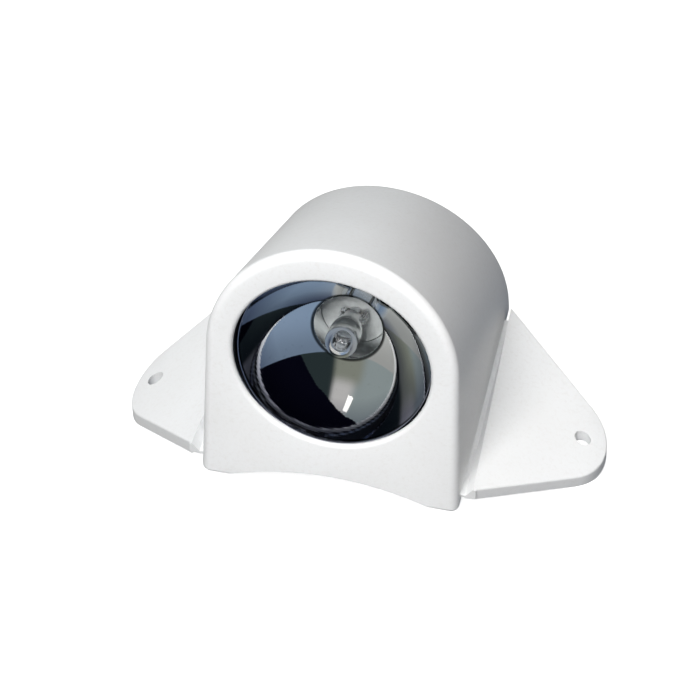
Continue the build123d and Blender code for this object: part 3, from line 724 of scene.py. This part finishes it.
def lamp_cement():
    """Dished filling of the neck, closed round the capsule's foot."""
    radius = NECK_RADIUS - CEMENT_CLEARANCE
    profile = []
    for step in range(CEMENT_STEPS + 1):
        share = step / CEMENT_STEPS
        profile.append((radius * share, -CEMENT_DEPTH - CEMENT_DISH * (1 - share**2)))
    back = -CEMENT_DEPTH - CEMENT_THICKNESS
    profile += [(radius, back), (0.0, back)]
    stand_for("lamp_cement", turned("cement", profile, CEMENT_SEGMENTS, "lamp_cement", lamp_frame))


# Bulb
def capsule_profile(radius, tip, throat_radius, throat):
    """Round tip, straight body and an easy waist into the throat."""
    points = [(0.0, -tip)]
    points += arc((0.0, -tip - radius), radius, math.pi / 2, 0.0, CAPSULE_TIP_STEPS)[1:]
    waist = CAPSULE_WAIST_DEPTH
    for step in range(1, CAPSULE_WAIST_STEPS + 1):
        share = step / CAPSULE_WAIST_STEPS
        narrowed = (throat_radius - radius) * eased(0.0, 1.0, share)
        points.append((radius + narrowed, -waist - (throat - waist) * share))
    return points + [(0.0, -throat)]


def pinch_mesh():
    """Flat pressed foot of the capsule, with a rib along each edge and dents over the foils."""
    width = PINCH_WIDTH / 2
    thick = PINCH_THICKNESS / 2
    dent = thick * 0.62
    rib = PINCH_RIB
    bevel = rib * 0.4
    half = [(width, 0.0), (width, thick * 0.55), (width - bevel, thick), (width - rib, thick)]
    half += [(width - rib * 1.6, dent), (rib * 1.5, dent), (rib * 0.9, thick * 0.9), (0.0, thick * 0.95)]
    upper = half + [(-x, y) for x, y in reversed(half[:-1])]
    ring = upper + [(x, -y) for x, y in reversed(upper[1:-1])]
    levels = [(PINCH_END_DEPTH, 0.96), (PINCH_END_DEPTH - bevel, 1.0)]
    levels += [(CAPSULE_THROAT_DEPTH + rib, 1.0), (CAPSULE_THROAT_DEPTH, 0.72)]
    work = bmesh.new()
    rows = []
    for depth, scale in levels:
        rows.append([work.verts.new((x * scale, y * scale, -depth)) for x, y in ring])
    for low, high in zip(rows, rows[1:]):
        for step, corner in enumerate(low):
            following = (step + 1) % len(low)
            work.faces.new((corner, low[following], high[following], high[step]))
    work.faces.new(rows[0])
    work.faces.new(rows[-1])
    bmesh.ops.recalc_face_normals(work, faces=work.faces)
    work.transform(lamp_frame)
    mesh = bpy.data.meshes.new("pinch")
    settle(work, mesh)
    return mesh


def bulb_capsule():
    """Clear envelope with its gas space, on the pinched foot."""
    throat_radius = PINCH_THICKNESS
    wall = CAPSULE_GLASS
    outer = capsule_profile(CAPSULE_RADIUS, CAPSULE_TIP_DEPTH, throat_radius, CAPSULE_THROAT_DEPTH)
    inner = capsule_profile(
        CAPSULE_RADIUS - wall, CAPSULE_TIP_DEPTH + wall, throat_radius - wall,
        CAPSULE_THROAT_DEPTH - wall * 2)
    glass = turned("glass", outer, CAPSULE_SEGMENTS, "bulb_capsule", lamp_frame)
    gas = turned("gas", inner, CAPSULE_SEGMENTS, "bulb_capsule", lamp_frame)
    gas.flip_normals()
    stand_for("bulb_capsule", joined("capsule", [glass, gas, pinch_mesh()]))


def bulb_filament():
    """Close tungsten coil laid across the capsule."""
    laid = lamp_frame @ Matrix.Translation((-COIL_LENGTH / 2, 0, -COIL_DEPTH))
    laid = laid @ Matrix.Rotation(math.pi / 2, 4, "Y")
    mesh = grown(
        COIL, points_mesh("coil", [(0, 0, 0)]), "bulb_filament", laid, Turns=COIL_LENGTH / COIL_PITCH,
        Steps=COIL_STEPS, Radius=COIL_RADIUS, Length=COIL_LENGTH, Wire=COIL_WIRE)
    stand_for("bulb_filament", mesh)


# Spring and screws
def retaining_spring():
    """Wire ring lying on the collar's step, round the lamp's rim."""
    depth = FACE_WALL - SPRING_WIRE - SEAT_GAP
    centre = Matrix.Translation((0, -depth * math.tan(LAMP_TILT), -depth))
    mesh = grown(
        RING, points_mesh("ring", [(0, 0, 0)]), "retaining_spring", face_frame @ centre,
        Radius=SPRING_RADIUS, Start=math.pi / 2 + SPRING_GAP / 2, Sweep=math.tau - SPRING_GAP,
        Wire=SPRING_WIRE)
    stand_for("retaining_spring", mesh)


def thread(radius, low, high, pitch, relief):
    """Crests and roots of a thread between two heights, from the top down."""
    count = max(int((high - low) / pitch), 1)
    step = (high - low) / count
    points = []
    for turn in range(count):
        top = high - turn * step
        crests = [(radius, top - step * share) for share in (0.1, 0.9)]
        points += [crests[0], (radius - relief, top - step * 0.5), crests[1]]
    return points


def screws(node, matrix, shank, head_height, drive, slot_depth):
    """Screws where the CAD's are, with rounded heads, threads and driver slots."""
    flip = matrix @ Matrix.Rotation(math.pi, 4, "X")
    boxes = islands(node, flip)
    places = [((low.x + high.x) / 2, (low.y + high.y) / 2, high.z) for low, high in boxes]
    low, high = boxes[0]
    head = (high.x - low.x) / 2
    length = high.z - low.z
    round_radius = head_height * 0.45 if head_height else shank * 0.15
    profile = [(0.0, 0.0)]
    profile += arc((head - round_radius, -round_radius), round_radius, math.pi / 2, 0.0, 6)
    if head_height:
        profile += [(head, -head_height), (shank, -head_height)]
    relief = shank * 0.16
    thread_top = -max(head_height, round_radius) - relief
    profile += thread(shank, -length + relief * 2, thread_top, THREAD_PITCH, relief)
    profile += [(shank - relief * 2, -length), (0.0, -length)]
    blank = turned(node + "_blank", profile, SCREW_SEGMENTS, node)
    work = bmesh.new()
    work.from_mesh(blank)
    mark = work.verts.layers.bool.new("place")
    for place in places:
        work.verts.new(place)[mark] = True
    work.to_mesh(blank)
    work.free()
    mesh = grown(
        SCREW, blank, node, flip, Span=head * 3, Slot=drive, Depth=slot_depth * 2, Top=0.0)
    stand_for(node, mesh)


def lead_ends():
    """Bare strands clamped in the terminal block."""
    along = mast_frame @ Matrix.Rotation(-math.pi / 2, 4, "X")
    bundles = []
    for low, high in islands("lead_ends", along):
        radius = (high.x - low.x) / 2
        wire = radius / 3
        place = along @ Matrix.Translation(((low.x + high.x) / 2, (low.y + high.y) / 2, low.z))
        bundles.append(grown(
            STRANDS, points_mesh("bundle", [(0, 0, 0)]), "lead_ends", place, Strands=STRANDS_AROUND,
            Lay=wire * 2, Length=high.z - low.z, Wire=wire, Turns=STRAND_TURNS))
    stand_for("lead_ends", joined("strands", bundles))


lamp_reflector()
lamp_cement()
bulb_capsule()
bulb_filament()
retaining_spring()
for node, sizes in SCREWS.items():
    screws(node, *sizes)
lead_ends()

REMADE = {
    "lamp_reflector", "lamp_cement", "bulb_capsule", "bulb_filament", "retaining_spring",
    "lead_ends", *SCREWS,
}
for node in frame["nodes"]:
    if node not in REMADE:
        smoothed(node)


# Floor, light and camera
FLOOR_REACH = 3.0
FLOOR_GLOW = 0.8


def staged(name, mesh, material):
    mesh.materials.append(material)
    thing = bpy.data.objects.new(name, mesh)
    bpy.context.scene.collection.objects.link(thing)
    return thing


def pale_floor():
    finish = Finish("pale_floor", (0.93, 0.93, 0.93), 0.9)
    finish.tint(finish.noise(6.0), (0.92, 0.92, 0.925))
    finish.rough(finish.noise(20.0), 0.05)
    finish.set(Emission_Color=(1, 1, 1, 1), Emission_Strength=FLOOR_GLOW)
    mesh = bpy.data.meshes.new("floor")
    corners = [(x * FLOOR_REACH, y * FLOOR_REACH, 0) for x, y in ((-1, -1), (1, -1), (1, 1), (-1, 1))]
    mesh.from_pydata(corners, [], [(0, 1, 2, 3)])
    floor = staged("floor", mesh, finish.material)
    floor.visible_glossy = False
    floor.visible_diffuse = False


# What the bright bowl mirrors: a pale wall on the left and a dark room above and on the right.
# Directions are degrees right of the front and degrees above the horizon. A pair of angles is where
# one colour begins to give way to the next and where it has gone.
ROOM_RADIUS = 2.2
ROOM_STEP = 3
ROOM_ROWS = 30
DARK_NEARNESS = 0.98
WINDOW_NEARNESS = 0.96
DARK_EDGE = [(-75, 50), (-33, 56), (-13, 54), (3, 48), (23, 35), (33, 19), (42, 0), (180, 0)]
WINDOW = (-31.0, -23.0, 40.0, 53.0)
WARM_WALL = Vector((0.52, 0.50, 0.49))
OLIVE_WALL = Vector((0.23, 0.24, 0.20))
GREY_WALL = Vector((0.27, 0.31, 0.31))
GREEN_WALL = Vector((0.022, 0.032, 0.034))
WARM_GROUND = Vector((0.55, 0.55, 0.53))
COOL_GROUND = Vector((0.24, 0.32, 0.44))
DARK_ROOM = Vector((0.002, 0.002, 0.006))
WINDOW_GLOW = Vector((1.6, 1.55, 1.45))
HIGH_WARM_TO_GREY = (-18.0, -36.0)
OLIVE_TO_HIGH = (22.0, 36.0)
LOW_OLIVE_TO_GREY = (-26.0, -40.0)
WALL_TO_GREEN = (-2.0, 7.0)
WARM_TO_COOL = (-30.0, 25.0)
GROUND_DIMMING = (-50.0, 0.0)
GROUND_LOSS = 0.35


def dark_edge(azimuth):
    """Elevation above which the room is dark."""
    for (left, low), (right, high) in zip(DARK_EDGE, DARK_EDGE[1:]):
        if left <= azimuth <= right:
            return low + (high - low) * (azimuth - left) / (right - left)
    return DARK_EDGE[0][1]


def wall_glow(azimuth, elevation):
    """Warm light high in the middle, olive below it, grey on the left and dark green on the right."""
    high = WARM_WALL.lerp(GREY_WALL, eased(*HIGH_WARM_TO_GREY, azimuth))
    wall = OLIVE_WALL.lerp(high, eased(*OLIVE_TO_HIGH, elevation))
    wall = wall.lerp(GREY_WALL, eased(*LOW_OLIVE_TO_GREY, azimuth))
    return wall.lerp(GREEN_WALL, eased(*WALL_TO_GREEN, azimuth))


def ground_glow(azimuth, elevation):
    """Warm on the left and cool on the right, dimmer towards the horizon."""
    ground = WARM_GROUND.lerp(COOL_GROUND, eased(*WARM_TO_COOL, azimuth))
    return ground * (1.0 - GROUND_LOSS * eased(*GROUND_DIMMING, elevation))


def mirrored_card(name, azimuths, span, glow, nearness=1.0):
    """Glowing card on a dome round the light that nothing but a reflection shows."""
    work = bmesh.new()
    paint = work.verts.layers.float_color.new("glow")
    columns = []
    for azimuth in azimuths:
        low, high = span(azimuth)
        column = []
        for step in range(ROOM_ROWS + 1):
            elevation = low + (high - low) * step / ROOM_ROWS
            side, up = math.radians(azimuth), math.radians(elevation)
            way = Vector((math.cos(up) * math.sin(side), -math.cos(up) * math.cos(side), math.sin(up)))
            corner = work.verts.new(mouth_centre + way * ROOM_RADIUS * nearness)
            corner[paint] = (*glow(azimuth, elevation), 1.0)
            column.append(corner)
        columns.append(column)
    for left, right in zip(columns, columns[1:]):
        for step in range(ROOM_ROWS):
            work.faces.new((left[step], right[step], right[step + 1], left[step + 1]))
    mesh = bpy.data.meshes.new(name)
    work.to_mesh(mesh)
    work.free()
    material = bpy.data.materials.new(name)
    material.use_nodes = True
    nodes = material.node_tree.nodes
    nodes.remove(nodes["Principled BSDF"])
    glower = nodes.new("ShaderNodeEmission")
    painted = nodes.new("ShaderNodeAttribute")
    painted.attribute_name = "glow"
    material.node_tree.links.new(painted.outputs["Color"], glower.inputs["Color"])
    material.node_tree.links.new(glower.outputs["Emission"], nodes["Material Output"].inputs["Surface"])
    card = staged(name, mesh, material)
    card.visible_camera = False
    card.visible_diffuse = False
    card.visible_transmission = False
    card.visible_shadow = False


def mirrored_room():
    all_round = range(-180, 181, ROOM_STEP)
    mirrored_card("wall", all_round, lambda azimuth: (0, 90), wall_glow)
    mirrored_card("ground", all_round, lambda azimuth: (-90, 0), ground_glow)
    mirrored_card(
        "dark_room", all_round, lambda azimuth: (dark_edge(azimuth), 90),
        lambda azimuth, elevation: DARK_ROOM, DARK_NEARNESS)
    left, right, low, high = WINDOW
    mirrored_card(
        "window", (left, right), lambda azimuth: (low, high),
        lambda azimuth, elevation: WINDOW_GLOW, WINDOW_NEARNESS)


# Soft lights: place and size in metres, power in watts, colour
NEUTRAL = (1.0, 1.0, 1.0)
SOFT_LIGHTS = {
    "key": ((-0.10, -1.16, 0.72), 0.5, 22.5, NEUTRAL),
    "top_fill": ((0.10, -0.30, 1.30), 0.6, 3.6, NEUTRAL),
    "right_fill": ((1.05, -0.70, 0.12), 0.5, 3.6, (1.0, 0.96, 0.93)),
    "left_fill": ((-0.95, -0.10, 0.75), 0.6, 0.8, NEUTRAL),
    "back_fill": ((-0.25, 1.20, 0.16), 0.6, 3.0, NEUTRAL),
}
ROOM_COLOUR = (0.95, 0.97, 1.0, 1.0)
ROOM_STRENGTH = 0.1


def area_light(name, place, size, power, colour):
    """Square soft light that looks at the middle of the light."""
    data = bpy.data.lights.new(name, "AREA")
    data.shape = "SQUARE"
    data.size = size
    data.energy = power
    data.color = colour
    lamp = bpy.data.objects.new(name, data)
    bpy.context.scene.collection.objects.link(lamp)
    lamp.location = place
    lamp.rotation_euler = (CAMERA_AIM - Vector(place)).to_track_quat("-Z", "Y").to_euler()
    lamp.visible_glossy = False


def studio():
    pale_floor()
    mirrored_room()
    for name, settings in SOFT_LIGHTS.items():
        area_light(name, *settings)
    world = bpy.data.worlds.new("room")
    world.use_nodes = True
    background = world.node_tree.nodes["Background"]
    background.inputs["Color"].default_value = ROOM_COLOUR
    background.inputs["Strength"].default_value = ROOM_STRENGTH
    bpy.context.scene.world = world


def photo_camera():
    data = bpy.data.cameras.new("camera")
    data.lens = CAMERA_LENS
    data.sensor_width = CAMERA_SENSOR
    camera = bpy.data.objects.new("camera", data)
    bpy.context.scene.collection.objects.link(camera)
    look = (CAMERA_AIM - CAMERA_PLACE).to_track_quat("-Z", "Y")
    camera.rotation_mode = "QUATERNION"
    camera.rotation_quaternion = look @ Matrix.Rotation(CAMERA_ROLL, 3, "Z").to_quaternion()
    camera.location = CAMERA_PLACE
    bpy.context.scene.camera = camera


studio()
photo_camera()
bpy.context.scene.view_settings.view_transform = "Standard"
